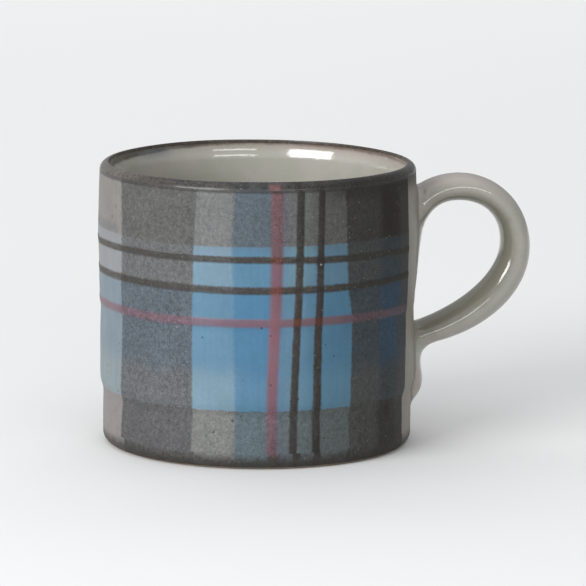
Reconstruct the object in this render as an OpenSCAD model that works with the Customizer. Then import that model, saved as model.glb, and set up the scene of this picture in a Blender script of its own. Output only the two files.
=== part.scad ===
// Straight-sided stoneware mug, thrown in one piece, with a pulled strap handle and a hand-painted plaid.
// The cup's axis is the Z axis, its foot rests on z = 0 and the handle points along +X.
// Angles are measured around Z from the middle of the handle. The front (-Y) and the back (+Y)
// carry the same plaid, mirrored about the handle, so most painted pieces are drawn once and mirrored.

/* [Cup] */
// Outside diameter at the rim
rim_d = 90; // [80:1:110]
// Height from the foot to the top of the lip
height = 80.5; // [70:0.5:100]
// Thickness of the wall near the lip, coats included
wall_t = 3.5; // [3.2:0.1:5]
// Radius of the outer rounding of the lip; the rest of the wall's thickness is the inner rounding
lip_out_r = 2.5; // [1.8:0.1:2.6]
// Height of the inside floor above the table
floor_z = 6; // [5:0.5:9]
// Radius of the inside corner between wall and floor
inner_corner = 8; // [4:1:12]
// How much narrower the base is than the rim, in radius
base_inset = 0.9; // [0.5:0.1:2]
// How much narrower the middle of the wall is than the rim, in radius
waist_inset = 0.3; // [0:0.1:0.6]
// How much wider the wall swells three quarters of the way up than at the rim, in radius
swell = 0.3; // [0:0.1:0.6]
// Height of the small turned step where the base widens into the wall
step_z = 15; // [10:0.5:24]
// Radius of the rounding under the base
foot_round = 2.75; // [1.5:0.25:3.5]
// Width of the unglazed ring that the mug rests on
foot_ring_w = 5; // [3:0.5:8]
// Depth of the turned hollow inside the foot ring
foot_hollow = 1.5; // [0.5:0.25:2.5]

/* [Handle] */
// How far the handle stands out from the wall
handle_reach = 34; // [28:1:40]
// Width of the strap, front to back
handle_w = 13; // [10:0.5:16]

/* [Coats] */
// Thickness of every fired coat of glaze or slip on the clay
coat_t = 0.25; // [0.15:0.05:0.4]
// Extra thickness of the painted lines on top of the coats
line_t = 0.15; // [0.1:0.05:0.3]
// Thickness of the slip that glues the handle to the wall
luting_t = 0.4; // [0.3:0.1:0.6]

/* [Plaid] */
// Half angle of the plain strip that holds the handle
handle_strip = 28.5; // [24:0.5:34]
// Angle where the first dark column ends and the light panel begins
panel_start = 63; // [60:0.5:66]
// Angle where the light panel ends and the second dark column begins
panel_end = 121.5; // [118:0.5:124]
// Angle where the second dark column ends and the plain far side begins
far_side = 156; // [150:0.5:160]
// Width of the two dark rings and the two dark uprights
dark_line_w = 2; // [1:0.1:2.5]
// Width of the red ring
red_ring_w = 2.4; // [1:0.1:3]
// Width of the red uprights
red_upright_w = 3.2; // [1:0.1:4]

/* [Hidden] */
$fn = 96;

rim_r = rim_d / 2;
inner_r = rim_r - wall_t;
lip_in_r = wall_t - lip_out_r;
lip_crest_r = rim_r - lip_out_r;
lip_out_z = height - lip_out_r;
lip_in_z = height - lip_in_r;
base_r = rim_r - base_inset;
step_rise = 3;
step_out = 0.65;

// Outside radius of the clay by height, as [z, r] pairs: base, turned step, waist, swell and lip
clay_wall = [
    [0, base_r - coat_t],
    [step_z, base_r - coat_t],
    [step_z + step_rise, base_r + step_out - coat_t],
    [0.48 * height, rim_r - waist_inset - coat_t],
    [0.75 * height, rim_r + swell - coat_t],
    [lip_out_z, rim_r - coat_t]
];
function wall_r(z) = lookup(z, clay_wall);

// Centre of the rounding under the base
foot_corner_r = base_r - coat_t - foot_round;
foot_ring_in = foot_corner_r - foot_ring_w;

// Heights of the painted bands, in proportion to the cup
unit_z = height / 80;
foot_band_low = 0.6;
foot_band_top = 4.6 * unit_z;
blue_low = 16.6 * unit_z;
deep_blue_low = 28.9 * unit_z;
deep_blue_top = 50.5 * unit_z;
blue_top = 62.8 * unit_z;
paint_top = lip_out_z;
dark_ring_z = [50.5 * unit_z, 58.7 * unit_z];
red_ring_z = 41.2 * unit_z;

// Angles of the painted columns and uprights
navy_from = 36;
navy_to = 48;
dark_upright_at = [75.5, 83.5];
red_upright_at = 91.8;
deep_blue_from = 92;
deep_blue_to = 106.2;

function degrees_of(width) = width / rim_r * 180 / PI;
function is_between(z, low, high) = z > low && z < high;
function reversed(list) = [for (i = [len(list) - 1 : -1 : 0]) list[i]];

// Heights between which a coat is a plain cone: its two ends and each change of slope in between
function slope_heights(low, high) =
    concat([low], [for (p = clay_wall) if (is_between(p[0], low, high)) p[0]], [high]);

// Section of a coat on the wall, from "under" to "over" millimetres outside the clay
function coat_section(low, high, under, over) =
    let (zs = slope_heights(low, high))
    concat(
        [for (z = zs) [wall_r(z) + under, z]],
        [for (z = reversed(zs)) [wall_r(z) + over, z]]
    );

// A coat between two heights and two angles
module coat(low, high, from, to, under = 0, over = coat_t) {
    rotate([0, 0, from])
        rotate_extrude(angle = to - from)
            polygon(coat_section(low, high, under, over));
}

module front_and_back() {
    children();
    mirror([0, 1, 0]) children();
}

// ---- the cup ----

// Section of the space inside the cup, grown by "grow" into the wall
module inside_section(grow) {
    corner_r = inner_r - inner_corner;
    corner_z = floor_z + inner_corner;
    translate([0, corner_z]) square([inner_r + grow, height]);
    translate([0, floor_z - grow]) square([corner_r, inner_corner + grow + 1]);
    translate([corner_r, corner_z]) circle(r = inner_corner + grow);
}

// Section of the lip, drawn "inset" millimetres inside its finished surface
module lip_section(inset) {
    intersection() {
        translate([lip_crest_r, lip_out_z]) circle(r = lip_out_r - inset);
        translate([lip_crest_r, lip_out_z]) square(lip_out_r);
    }
    intersection() {
        translate([lip_crest_r, lip_in_z]) circle(r = lip_in_r - inset);
        translate([inner_r, lip_in_z]) square([lip_in_r, lip_in_r]);
    }
    translate([inner_r + inset, lip_out_z]) square([lip_in_r - inset, lip_in_z - lip_out_z]);
}

module foot_corner_disc(radius) {
    translate([foot_corner_r, foot_round]) circle(r = radius);
}

module cup_section() {
    difference() {
        union() {
            square([foot_corner_r, foot_round + 0.5]);
            foot_corner_disc(foot_round);
            polygon(concat(
                [[0, foot_round]],
                [for (z = slope_heights(foot_round, lip_out_z)) [wall_r(z), z]],
                [[0, lip_out_z]]
            ));
            lip_section(coat_t);
        }
        inside_section(coat_t);
        polygon([
            [0, -1], [foot_ring_in, -1], [foot_ring_in, 0],
            [foot_ring_in - foot_hollow, foot_hollow], [0, foot_hollow]
        ]);
    }
}

module cup_body() {
    color([0.66, 0.62, 0.56])
        rotate_extrude() cup_section();
}

module liner_glaze() {
    color([0.72, 0.72, 0.68])
        rotate_extrude() intersection() {
            difference() {
                inside_section(coat_t);
                inside_section(0);
            }
            square([rim_r, lip_in_z]);
        }
}

module rim_band() {
    color([0.33, 0.30, 0.28])
        rotate_extrude() difference() {
            lip_section(0);
            lip_section(coat_t);
            translate([inner_r - 1, lip_out_z - 1]) square([lip_in_r + 1, lip_in_z - lip_out_z + 1]);
        }
}

// Section of the lowest part of the cup, with its rounded corner, "over" millimetres outside the clay
module foot_section(over) {
    square([foot_corner_r, foot_band_top]);
    foot_corner_disc(foot_round + over);
    polygon([
        [0, foot_round], [wall_r(foot_round) + over, foot_round],
        [wall_r(foot_band_top) + over, foot_band_top], [0, foot_band_top]
    ]);
}

module foot_band() {
    color([0.31, 0.30, 0.29])
        rotate_extrude() intersection() {
            difference() {
                foot_section(coat_t);
                foot_section(0);
            }
            translate([foot_corner_r, foot_band_low])
                square([foot_round + 1, foot_band_top - foot_band_low]);
        }
}

// ---- the handle ----

// Handle outlines are cubic curves through hand-chosen points [distance from the wall, height],
// for a reach of 34 and a height of 80, scaled to the real reach and height
function handle_point(p) = [rim_r - 0.5 + p[0] * handle_reach / 34, p[1] * unit_z];

function curve_point(c, t) =
    handle_point(c[0] * pow(1 - t, 3) + c[1] * 3 * t * pow(1 - t, 2)
        + c[2] * 3 * t * t * (1 - t) + c[3] * pow(t, 3));

// Outer edge: up inside the wall, over the top, down the far side, in to the lower root, down the tail
outer_curves = [
    [[-2.5, 36], [-2.5, 48], [-2.5, 60], [-2.5, 68.5]],
    [[-2.5, 68.5], [1.5, 72.6], [7, 75.4], [13.5, 75.4]],
    [[13.5, 75.4], [25, 75.4], [34.3, 66], [34.3, 54]],
    [[34.3, 54], [34.3, 41], [22.5, 31], [8.5, 27.5]],
    [[8.5, 27.5], [4.5, 26.5], [2.7, 25.2], [2.7, 22]],
    [[2.7, 22], [2.7, 19], [4.4, 15.5], [1.9, 12.4]],
    [[1.9, 12.4], [1.1, 11.4], [-0.6, 10.6], [-2.5, 10]]
];
// Inner edge: the long smoothed fillet up the wall, round the finger gap, and back inside the wall
inner_curves = [
    [[-2, 35.5], [1.4, 42], [0.8, 52], [2.7, 59.5]],
    [[2.7, 59.5], [4.2, 65], [7.7, 67.7], [13, 67.7]],
    [[13, 67.7], [20.5, 67.7], [25.9, 63], [25.9, 55.5]],
    [[25.9, 55.5], [25.9, 46], [14.5, 36.8], [0, 32.3]],
    [[0, 32.3], [-2.5, 31.3], [-3.2, 29], [-3.2, 26]],
    [[-3.2, 26], [-3.2, 22], [-3.2, 18], [-3.2, 14]],
    [[-3.2, 14], [-3.2, 12], [-3, 10], [-3, 9]]
];
// Width of the strap where each pair of curves starts and ends, as a share of handle_w
strap_widths = [0.35, 1.25, 1, 0.95, 1.1, 1.15, 1.05, 0.5];
rings_per_curve = [7, 6, 7, 9, 5, 5, 3];
section_points = 24;
// 2 would be an ellipse; a little more gives a strap with softly squared edges
squareness = 2.4;

function rounded(x) = sign(x) * pow(abs(x), 2 / squareness);

// One section of the strap: a rounded oval across the strap, from its inner to its outer edge
function strap_ring(inner, outer, width, inset) =
    let (mid = (inner + outer) / 2, half = (outer - inner) / 2,
        half_t = norm(half) - inset, along = half / norm(half))
    [for (i = [0 : section_points - 1])
        let (a = 360 * i / section_points, s = half_t * rounded(cos(a)))
        [mid[0] + s * along[0], (width / 2 - inset) * rounded(sin(a)), mid[1] + s * along[1]]];

function strap_rings(inset) = [
    for (k = [0 : len(outer_curves) - 1])
        for (j = [0 : rings_per_curve[k] - (k < len(outer_curves) - 1 ? 1 : 0)])
            let (t = j / rings_per_curve[k],
                width = handle_w * (strap_widths[k] * (1 - t) + strap_widths[k + 1] * t))
            strap_ring(curve_point(inner_curves[k], t), curve_point(outer_curves[k], t), width, inset)
];

// The whole strap, "inset" millimetres inside its finished surface, with both roots running on into the wall
module strap(inset) {
    rings = strap_rings(inset);
    n = section_points;
    last = len(rings) - 1;
    sides = [
        for (r = [0 : last - 1]) for (i = [0 : n - 1])
            let (a = r * n + i, b = r * n + (i + 1) % n)
            each [[a, b, b + n], [a, b + n, a + n]]
    ];
    first_cap = [[for (i = [n - 1 : -1 : 0]) i]];
    last_cap = [[for (i = [0 : n - 1]) last * n + i]];
    polyhedron(points = [for (ring = rings) each ring], faces = concat(sides, first_cap, last_cap));
}

// The cup's outside wall as a solid block, "over" millimetres outside the clay
module wall_block(over) {
    rotate_extrude()
        polygon(concat(
            [[0, 0]],
            [for (z = slope_heights(0, lip_out_z)) [wall_r(z) + over, z]],
            [[0, lip_out_z]]
        ));
}

module handle() {
    color([0.68, 0.65, 0.60])
        difference() {
            strap(coat_t);
            wall_block(luting_t);
        }
}

module luting_slip() {
    color([0.58, 0.54, 0.48])
        intersection() {
            strap(coat_t);
            difference() {
                wall_block(luting_t);
                wall_block(0);
            }
        }
}

module handle_glaze() {
    color([0.70, 0.69, 0.65])
        difference() {
            strap(0);
            strap(coat_t);
            wall_block(0);
        }
}

// ---- coats on the outside ----

module handle_side_glaze() {
    color([0.64, 0.63, 0.58])
        difference() {
            coat(foot_band_top, paint_top, -handle_strip, handle_strip);
            strap(0);
        }
}

module far_side_glaze() {
    color([0.66, 0.63, 0.61])
        for (band = [[foot_band_top, blue_low], [blue_top, paint_top]])
            coat(band[0], band[1], far_side, 360 - far_side);
}

module dark_columns() {
    color([0.37, 0.36, 0.35])
        front_and_back()
            for (column = [[handle_strip, navy_from], [navy_to, panel_start], [panel_end, far_side]])
                coat(foot_band_top, paint_top, column[0], column[1]);
}

module navy_stripes() {
    color([0.22, 0.27, 0.33])
        front_and_back() coat(foot_band_top, paint_top, navy_from, navy_to);
}

// The parts of the light panel on either side of the deep blue column
module panel_coats(low, high) {
    front_and_back() {
        coat(low, high, panel_start, deep_blue_from);
        coat(low, high, deep_blue_to, panel_end);
    }
}

module grey_washes() {
    color([0.50, 0.50, 0.48]) {
        panel_coats(foot_band_top, blue_low);
        panel_coats(blue_top, paint_top);
    }
}

module light_blue_band() {
    color([0.52, 0.64, 0.72]) {
        panel_coats(blue_low, deep_blue_low);
        panel_coats(deep_blue_top, blue_top);
        coat(blue_low, blue_top, far_side, 360 - far_side);
    }
}

module deep_blue_band() {
    color([0.42, 0.58, 0.70])
        panel_coats(deep_blue_low, deep_blue_top);
}

module deep_blue_columns() {
    color([0.36, 0.53, 0.67])
        front_and_back() coat(foot_band_top, paint_top, deep_blue_from, deep_blue_to);
}

// A painted ring that runs from one side of the handle strip right round to the other
module ring_line(z, width) {
    coat(z - width / 2, z + width / 2, handle_strip, 360 - handle_strip, coat_t, coat_t + line_t);
}

// A painted upright line, broken where the rings cross it
module upright_line(angle, width) {
    half = degrees_of(width) / 2;
    stops = [
        [foot_band_top, red_ring_z - red_ring_w / 2],
        [red_ring_z + red_ring_w / 2, dark_ring_z[0] - dark_line_w / 2],
        [dark_ring_z[0] + dark_line_w / 2, dark_ring_z[1] - dark_line_w / 2],
        [dark_ring_z[1] + dark_line_w / 2, paint_top]
    ];
    for (s = stops)
        coat(s[0], s[1], angle - half, angle + half, coat_t, coat_t + line_t);
}

module dark_rings() {
    color([0.26, 0.25, 0.23])
        for (z = dark_ring_z) ring_line(z, dark_line_w);
}

module red_ring() {
    color([0.55, 0.34, 0.39])
        ring_line(red_ring_z, red_ring_w);
}

module dark_uprights() {
    color([0.24, 0.23, 0.21])
        front_and_back()
            for (angle = dark_upright_at) upright_line(angle, dark_line_w);
}

module red_uprights() {
    color([0.55, 0.34, 0.39])
        front_and_back() upright_line(red_upright_at, red_upright_w);
}

cup_body();
handle();
luting_slip();
liner_glaze();
handle_glaze();
handle_side_glaze();
far_side_glaze();
rim_band();
foot_band();
dark_columns();
navy_stripes();
grey_washes();
light_blue_band();
deep_blue_band();
deep_blue_columns();
dark_rings();
red_ring();
dark_uprights();
red_uprights();
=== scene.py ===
"""A hand-painted plaid stoneware mug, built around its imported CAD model.

Lengths inside the functions are in millimetres and angles in degrees; MM turns them into metres.
Every coat on the wall is one patch of the same wall surface, laid out in plaid coordinates (A, Z): A is the
angle from the middle of the handle and Z the height, both as in the CAD model. place() bends those
straight lines into hand-painted ones, and each vertex keeps its (A, Z) so that the colours follow them.
"""

import math

import bpy
import numpy as np
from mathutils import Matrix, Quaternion, Vector
from mathutils.bvhtree import BVHTree


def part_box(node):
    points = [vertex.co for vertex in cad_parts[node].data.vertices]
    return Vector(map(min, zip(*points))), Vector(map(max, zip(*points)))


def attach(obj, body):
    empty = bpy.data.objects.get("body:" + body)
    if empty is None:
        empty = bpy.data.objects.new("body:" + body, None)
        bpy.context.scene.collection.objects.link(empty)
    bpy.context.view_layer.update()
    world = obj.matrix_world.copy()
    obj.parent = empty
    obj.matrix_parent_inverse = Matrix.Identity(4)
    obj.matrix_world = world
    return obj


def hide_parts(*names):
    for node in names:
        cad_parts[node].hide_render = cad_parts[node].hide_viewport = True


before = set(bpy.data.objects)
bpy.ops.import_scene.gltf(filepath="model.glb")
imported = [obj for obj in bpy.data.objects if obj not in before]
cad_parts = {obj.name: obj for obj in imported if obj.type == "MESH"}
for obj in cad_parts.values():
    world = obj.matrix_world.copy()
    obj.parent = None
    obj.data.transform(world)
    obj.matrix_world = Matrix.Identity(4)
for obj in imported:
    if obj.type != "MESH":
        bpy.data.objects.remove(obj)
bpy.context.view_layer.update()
MM = 0.001         # metres in a millimetre
COAT = 0.25        # thickness of a coat of glaze or slip
LINE = 0.15        # height of a dark brushed line
RED_LINE = 0.12    # height of a red one
RING_W = 2.0       # width of a dark ring in the CAD model
FLOOR_Z = 6.0      # the glazed floor inside


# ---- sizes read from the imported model

def node_points(name):
    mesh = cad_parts[name].data
    co = np.empty(len(mesh.vertices) * 3, np.float32)
    mesh.vertices.foreach_get("co", co)
    return co.reshape(-1, 3).astype(float) / MM


def node_angles(name, gap=9.0):
    """The angles from the middle of the handle at which a node's patches start and end."""
    p = node_points(name)
    a = np.sort(np.abs(np.degrees(np.arctan2(p[:, 1], p[:, 0]))))
    breaks = np.flatnonzero(np.diff(a) > gap)
    return [float(x) for x in [a[0]] + [a[i] for k in breaks for i in (k, k + 1)] + [a[-1]]]


def node_heights(name):
    low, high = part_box(name)
    return low.z / MM, high.z / MM


def wall_profile(name):
    """Height and outside radius of the coats at each change of slope."""
    p = node_points(name)
    heights = np.unique(np.round(p[:, 2], 1))
    r = np.hypot(p[:, 0], p[:, 1])
    return heights, np.array([r[np.abs(p[:, 2] - z) < 0.06].max() for z in heights])


TOP = node_heights("rim_band")[1]
PAINT_LOW, PAINT_TOP = node_heights("dark_columns")
BLUE_LOW, BLUE_TOP = node_heights("light_blue_band")
DEEP_LOW, DEEP_TOP = node_heights("deep_blue_band")
STRIP, NAVY_FROM, NAVY_TO, PANEL_START, PANEL_END, FAR_SIDE = node_angles("dark_columns")
DEEP_FROM, DEEP_TO = node_angles("deep_blue_columns")
RED_AT = sum(node_angles("red_uprights")) / 2
WALL_Z, WALL_R = wall_profile("dark_columns")
RIM_R = float(WALL_R[-1])
INNER_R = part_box("liner_glaze")[1].x / MM - COAT
dark_edges = node_angles("dark_uprights", gap=3.0)
DARK_AT = [(dark_edges[k] + dark_edges[k + 1]) / 2 for k in (0, 2)]
ring_low, ring_high = node_heights("dark_rings")
RINGS = [ring_low + RING_W / 2, ring_high - RING_W / 2]
RED_RING = sum(node_heights("red_ring")) / 2

# ---- the painter's hand

# Where each upright edge or line really runs (angle) at these heights
HAND_Z = [5, 20, 38, 50, 62, 78]
HAND_UPRIGHTS = {
    0: [0] * 6,
    STRIP: [29.0, 28.9, 28.1, 27.6, 28.3, 28.9],
    NAVY_FROM: [36.0, 36.2, 36.3, 36.0, 36.4, 36.8],
    NAVY_TO: [47.5, 47.8, 47.6, 48.0, 48.3, 48.6],
    PANEL_START: [62.3, 62.4, 61.9, 63.8, 64.9, 65.5],
    DARK_AT[0]: [76.0, 76.15, 75.9, 75.3, 75.2, 74.7],
    DARK_AT[1]: [85.0, 84.75, 83.8, 83.3, 82.95, 82.7],
    RED_AT: [92.8, 92.7, 91.8, 91.2, 91.05, 91.1],
    DEEP_TO: [106.3, 105.7, 106.4, 106.4, 106.9, 106.3],
    PANEL_END: [122.7, 121.8, 121.9, 121.5, 121.1, 119.9],
    FAR_SIDE: [158.3, 156.5, 155.8, 155.7, 154.9, 156.0],
    180: [180] * 6,
}
# Where each ring really runs (height) at these angles
HAND_A = [0, 33, 40, 55, 75, 100, 130, 165, 180]
HAND_RINGS = {
    PAINT_LOW: [PAINT_LOW] * 9,
    RED_RING: [41.0, 41.1, 41.3, 41.45, 41.6, 41.5, 41.45, 41.6, 41.3],
    RINGS[0]: [50.5, 50.5, 50.6, 50.6, 50.65, 50.55, 50.75, 50.75, 50.5],
    RINGS[1]: [57.6, 57.7, 58.2, 58.5, 58.85, 59.35, 59.25, 59.05, 58.6],
    BLUE_TOP: [62.6, 62.6, 62.9, 63.0, 62.9, 62.8, 62.6, 62.8, 62.6],
    PAINT_TOP: [PAINT_TOP] * 9,
}
# How far the thrown wall stands off the CAD wall, by height
SWELL_Z = [0, 4, 8, 12, 15.5, 18, 20.5, 25, 30, 35, 39, 40.6, 43, 47, 50, 54, 58, 63, 67, 71, 75, 78, 81]
SWELL = [-.05, -.04, -.03, -.1, -.16, -.03, .09, .05, .06, -.01, -.1, .05, .1, .1, .05, .0, .04, .05, .03, .02,
         -.02, -.06, -.06]


def smooth_interp(x, xs, ys):
    """A smooth curve through the points, flat at no more than their extremes (monotone cubic)."""
    xs, ys = np.asarray(xs, float), np.asarray(ys, float)
    h = np.diff(xs)
    d = np.diff(ys) / h
    m = np.zeros_like(ys)
    same = d[1:] * d[:-1] > 0
    m[1:-1][same] = 2 * d[1:][same] * d[:-1][same] / (d[1:] + d[:-1])[same]
    m[0], m[-1] = d[0], d[-1]
    x = np.clip(x, xs[0], xs[-1])
    k = np.clip(np.searchsorted(xs, x) - 1, 0, len(h) - 1)
    t = (x - xs[k]) / h[k]
    return ((2 * t**3 - 3 * t**2 + 1) * ys[k] + (t**3 - 2 * t**2 + t) * h[k] * m[k]
            + (3 * t**2 - 2 * t**3) * ys[k + 1] + (t**3 - t**2) * h[k] * m[k + 1])


def angle_of(turn):
    """Plaid angle A, 0 to 180, of a turn round the axis."""
    return np.abs((turn + 180.0) % 360.0 - 180.0)


def strayed(value, hand, marks, along):
    """How far the hand strays from the straight lines at value. hand gives each line's real place at marks."""
    lines = np.array(list(hand), float)
    stray = np.stack([smooth_interp(along, marks, hand[k]) - k for k in hand]).reshape(len(lines), -1)
    flat = np.clip(value, lines[0], lines[-1]).ravel()
    k = np.clip(np.searchsorted(lines, flat) - 1, 0, len(lines) - 2)
    t = (flat - lines[k]) / (lines[k + 1] - lines[k])
    i = np.arange(flat.size)
    return ((1 - t) * stray[k, i] + t * stray[k + 1, i]).reshape(value.shape)


def bent(turn, z):
    """Where the plaid point (turn, z) really lies on the wall."""
    a = angle_of(turn)
    t = np.radians(turn)
    back = np.sin(t) > 0
    shift = strayed(a, HAND_UPRIGHTS, HAND_Z, z)
    drop = strayed(z, HAND_RINGS, HAND_A, a)
    # the back was painted by the same hand, but not the same lines
    shift = np.where(back, -0.55 * shift + 0.35 * np.sin(np.radians(turn * 3)) * np.sin(z / 17), shift)
    dip = 0.25 * np.sin(np.radians(turn * 2 + 40)) * np.sin(np.pi * z / 78) ** 2
    drop = np.where(back, drop * 0.6 + dip, drop)
    return turn + np.where(np.sin(t) < 0, -shift, shift), z + drop


WALL_DROP = 0.056     # keeps the highest of the unevenness inside the CAD wall


def wall_radius(turn, z):
    """Outside radius of the coats: the CAD wall with its throwing marks, slightly oval and softly dented."""
    r = np.interp(z, WALL_Z, WALL_R) + smooth_interp(z, SWELL_Z, SWELL)
    t = np.radians(turn)
    return r + 0.05 * np.sin(2 * t + z / 23) - WALL_DROP + 0.03 * np.sin(5 * t + 1.3 + z / 9) * np.sin(z / 13)


def on_wall(turn, z, off):
    """Points off outside the wall's surface."""
    r = wall_radius(turn, z) + off
    t = np.radians(turn)
    return np.stack([r * np.cos(t), r * np.sin(t), z], -1)


def place(turn, z, off):
    """on_wall for plaid points, bent as the hand went."""
    return on_wall(*bent(turn, z), off)


# ---- mesh building

def new_piece(name, co, faces, paint=None, sharp=40.0):
    """A mesh object from points in millimetres. paint is the plaid coordinate of each point."""
    mesh = bpy.data.meshes.new(name)
    mesh.from_pydata((np.asarray(co) * MM).tolist(), [], faces)
    if paint is not None:
        data = np.zeros((len(co), 3), np.float32)
        data[:, :paint.shape[1]] = paint
        mesh.attributes.new("paint", "FLOAT_VECTOR", "POINT").data.foreach_set("vector", data.ravel())
    mesh.polygons.foreach_set("use_smooth", [True] * len(mesh.polygons))
    if sharp:
        mesh.set_sharp_from_angle(angle=math.radians(sharp))
    mesh.validate()
    obj = bpy.data.objects.new(name, mesh)
    bpy.context.scene.collection.objects.link(obj)
    return obj


pieces = {}     # by the CAD node that each stands for


class Parts:
    """Points and faces of a piece, gathered patch by patch."""

    def __init__(self):
        self.co, self.paint, self.faces, self.count = [], [], [], 0

    def points(self, co, paint):
        co = np.asarray(co).reshape(-1, 3)
        self.co.append(co)
        self.paint.append(np.asarray(paint).reshape(len(co), -1))
        start = self.count
        self.count += len(co)
        return start

    def slab(self, outer, inner, paint, wrap=False):
        """A closed sheet between two grids of points, rows upwards and columns anticlockwise from above."""
        n, m = outer.shape[:2]
        o = self.points(outer, paint)
        i = self.points(inner, paint)
        out = o + np.arange(n * m).reshape(n, m)
        ins = i + np.arange(n * m).reshape(n, m)
        if wrap:
            out, ins = np.hstack([out, out[:, :1]]), np.hstack([ins, ins[:, :1]])
        self.quads(out[:-1, :-1], out[:-1, 1:], out[1:, 1:], out[1:, :-1])
        self.quads(ins[:-1, :-1], ins[1:, :-1], ins[1:, 1:], ins[:-1, 1:])
        self.quads(ins[0, :-1], ins[0, 1:], out[0, 1:], out[0, :-1])
        self.quads(out[-1, :-1], out[-1, 1:], ins[-1, 1:], ins[-1, :-1])
        if not wrap:
            self.quads(out[:-1, 0], out[1:, 0], ins[1:, 0], ins[:-1, 0])
            self.quads(ins[:-1, -1], ins[1:, -1], out[1:, -1], out[:-1, -1])

    def quads(self, a, b, c, d):
        self.faces += np.stack([a.ravel(), b.ravel(), c.ravel(), d.ravel()], -1).tolist()

    def build(self, name, **options):
        """The piece, whose name is its node's and what it is made of."""
        obj = new_piece(name, np.concatenate(self.co), self.faces, np.concatenate(self.paint), **options)
        pieces[name.rpartition("_")[0]] = obj


# All patches share these rows, so that neighbouring coats meet point to point
ROW_STEP = 0.6         # millimetres
COLUMN_STEP = 0.75     # degrees
MARKS = [PAINT_LOW, BLUE_LOW, DEEP_LOW, DEEP_TOP, BLUE_TOP, PAINT_TOP]


def rows_between(low, high, step=ROW_STEP):
    marks = [low] + [m for m in MARKS if low + 0.01 < m < high - 0.01] + [high]
    rows = [low]
    for a, b in zip(marks[:-1], marks[1:]):
        n = max(1, round((b - a) / step))
        rows += [a + (b - a) * (k + 1) / n for k in range(n)]
    return np.array(rows)


def coat_piece(name, patches):
    """patches: (low, high, from, to) on the front and the back; to > 180 runs round the far side."""
    parts = Parts()
    for z0, z1, a0, a1 in patches:
        for start, end in [(a0, a1)] if a1 > 180 else [(-a1, -a0), (a0, a1)]:
            turns = np.linspace(start, end, max(2, round((end - start) / COLUMN_STEP)) + 1)
            t, z = np.meshgrid(turns, rows_between(z0, z1))
            parts.slab(place(t, z, 0.0), place(t, z, -COAT), np.stack([angle_of(t), z], -1))
    parts.build(name)


def fields(heights, angles):
    """Every patch between these (low, high) heights and (from, to) angles."""
    return [(low, high, a, b) for low, high in heights for a, b in angles]


WHOLE = [(PAINT_LOW, PAINT_TOP)]
BLUE_SIDES = [(PAINT_LOW, BLUE_LOW), (BLUE_TOP, PAINT_TOP)]     # under and over the blue
DEEP_SIDES = [(BLUE_LOW, DEEP_LOW), (DEEP_TOP, BLUE_TOP)]       # under and over the second blue
PANEL = [(PANEL_START, DEEP_FROM), (DEEP_TO, PANEL_END)]        # the panel beside its deep column
DARK = [(STRIP, NAVY_FROM), (NAVY_TO, PANEL_START), (PANEL_END, FAR_SIDE)]
FAR = [(FAR_SIDE, 360 - FAR_SIDE)]
coat_piece("dark_columns_paint", fields(WHOLE, DARK))
coat_piece("navy_stripes_paint", fields(WHOLE, [(NAVY_FROM, NAVY_TO)]))
coat_piece("grey_washes_paint", fields(BLUE_SIDES, PANEL))
coat_piece("light_blue_band_paint", fields(DEEP_SIDES, PANEL) + fields([(BLUE_LOW, BLUE_TOP)], FAR))
coat_piece("deep_blue_band_paint", fields([(DEEP_LOW, DEEP_TOP)], PANEL))
coat_piece("deep_blue_columns_paint", fields(WHOLE, [(DEEP_FROM, DEEP_TO)]))
coat_piece("far_side_glaze_coat", fields(BLUE_SIDES, FAR))


# ---- painted lines: thin lens-shaped ridges

LINE_SIDES = 10
RING_COLUMNS = 460
LINE_ROOT = 0.1     # how deep a line reaches into the coats


def line_piece(name, places, width, height, ring):
    """Closed strips that follow the wall: rings at these heights, or uprights at these angles."""
    parts = Parts()
    s = np.linspace(-1, 1, LINE_SIDES + 1)
    for at in places:
        for centre in [0] if ring else [-at, at]:
            if ring:
                turn, z = np.meshgrid(np.linspace(STRIP, 360 - STRIP, RING_COLUMNS), at + s * width / 2)
                across, run = np.repeat(s[:, None], RING_COLUMNS, 1), turn
            else:
                half = math.degrees(width / 2 / RIM_R)
                z, turn = np.meshgrid(rows_between(PAINT_LOW, PAINT_TOP), centre + s * half, indexing="ij")
                across, run = np.repeat(s[None, :], len(z), 0), z * 3.0
            load = 0.75 + 0.25 * np.sin(run * 0.31 + at) * np.sin(run * 0.113 + 2 * at)     # of the brush
            rise = height * (1 - across**2) * load
            paint = np.stack([angle_of(turn), z], -1)
            parts.slab(place(turn, z, rise), place(turn, z, -LINE_ROOT), paint)
    parts.build(name, sharp=60)


DARK_W, RED_RING_W, RED_W = 2.2, 2.6, 3.3
line_piece("dark_rings_paint", RINGS, DARK_W, LINE, True)
line_piece("red_ring_paint", [RED_RING], RED_RING_W, RED_LINE, True)
line_piece("dark_uprights_paint", DARK_AT, DARK_W, LINE, False)
line_piece("red_uprights_paint", [RED_AT], RED_W, RED_LINE, False)


# ---- turned pieces: foot band, lip, liner, clay cup

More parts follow.
